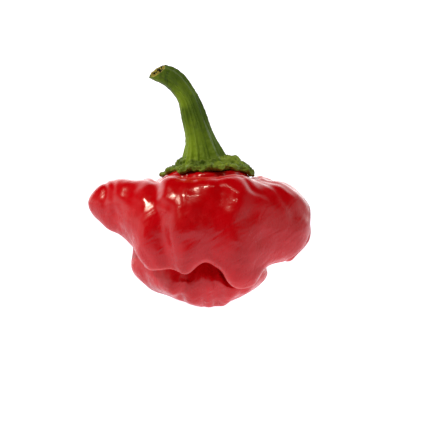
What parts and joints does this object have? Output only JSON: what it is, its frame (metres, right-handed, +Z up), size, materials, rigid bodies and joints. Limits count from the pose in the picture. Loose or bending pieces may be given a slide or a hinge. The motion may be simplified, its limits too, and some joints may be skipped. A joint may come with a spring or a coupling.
{
  "type": "chili pepper",
  "caption": "Squat, lobed bonnet-type chili pepper standing on its blossom end, with a scalloped calyx and a curved stem torn off at an angle.",
  "frame": {"origin": "on the surface the pepper stands on, under the middle of its box", "axes": "+Z up through the stem, -X towards the long side lobe and the tip of the stem, -Y towards the front"},
  "size_m": [0.0522, 0.0426, 0.0557],
  "materials": {
    "skin": "glossy waxy red pepper skin, faintly pitted and softly streaked",
    "calyx_green": "wrinkled dull leafy green",
    "stem_green": "satin green with fine lengthwise ribs, yellow pith at the torn end"
  },
  "bodies": {
    "root": {"pod": "skin", "calyx": "calyx_green", "stem": "stem_green"}
  },
  "joints": []
}
